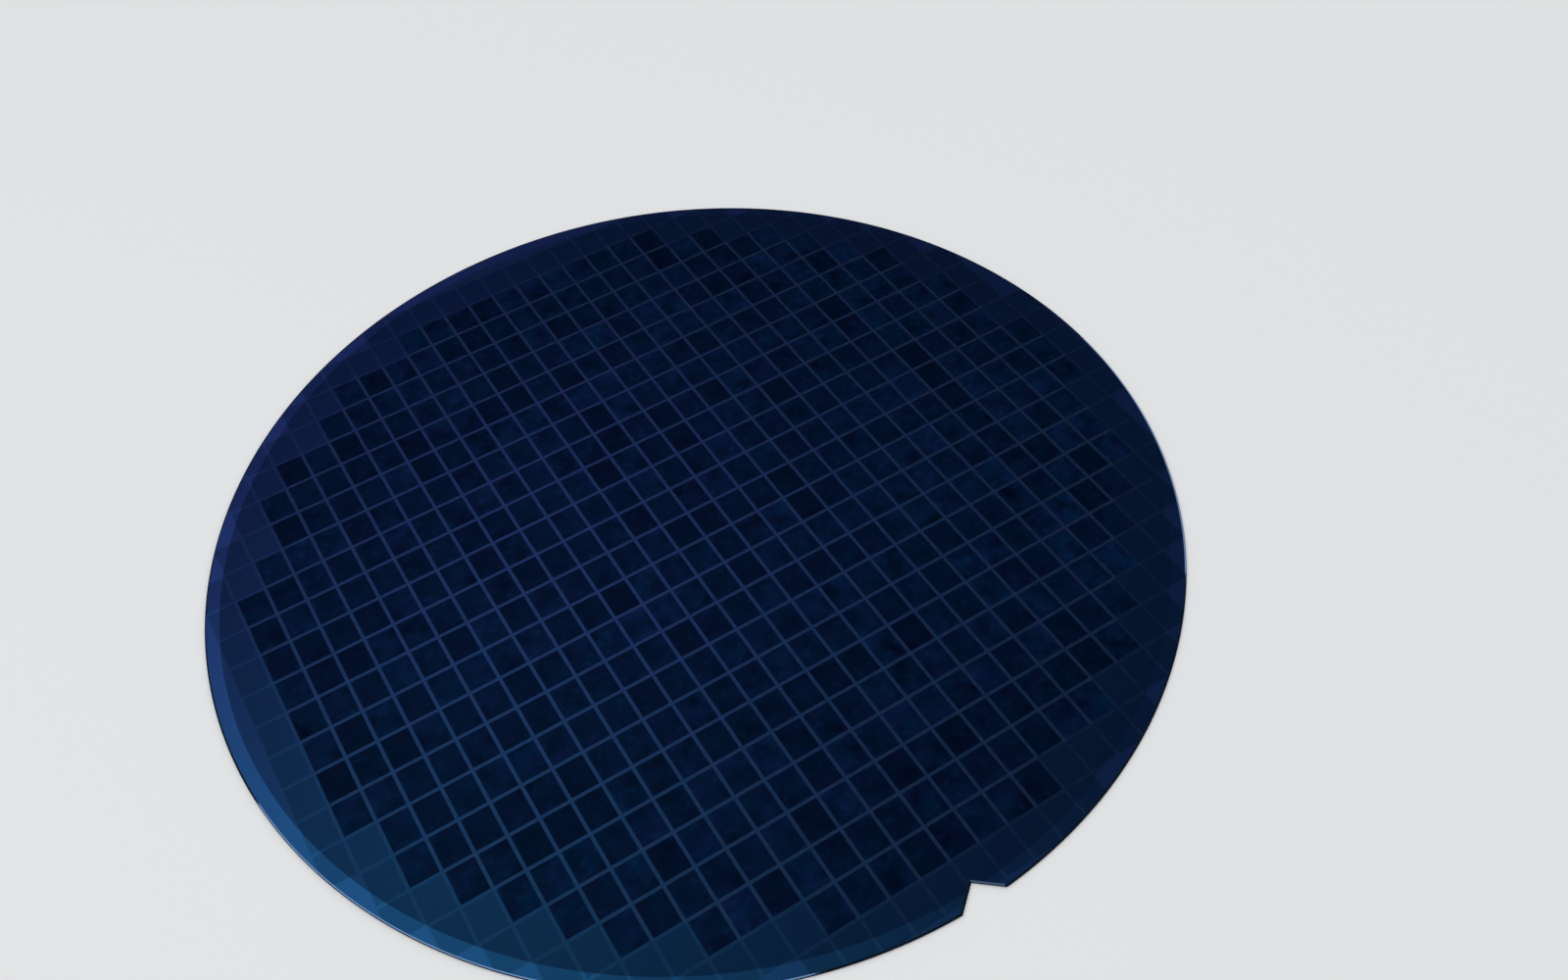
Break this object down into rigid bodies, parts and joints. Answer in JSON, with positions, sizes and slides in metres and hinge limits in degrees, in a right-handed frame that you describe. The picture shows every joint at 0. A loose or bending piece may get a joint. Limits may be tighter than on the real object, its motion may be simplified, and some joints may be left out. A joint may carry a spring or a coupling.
{
  "type": "silicon wafer",
  "caption": "Thin round silicon wafer with a bevelled edge, a V notch and a grid of rectangular dies parted by saw streets, cut off at the rim.",
  "frame": {"origin": "centre of the back face, on the axis of the disc", "axes": "+Z out of the printed face along the axis of the disc, -Y towards the orientation notch, X along the rows of dies"},
  "size_m": [0.3, 0.2998, 0.0008],
  "materials": {
    "printed_silicon": "polished silicon under dark blue thin films"
  },
  "bodies": {
    "root": {"wafer": "printed_silicon"}
  },
  "joints": []
}
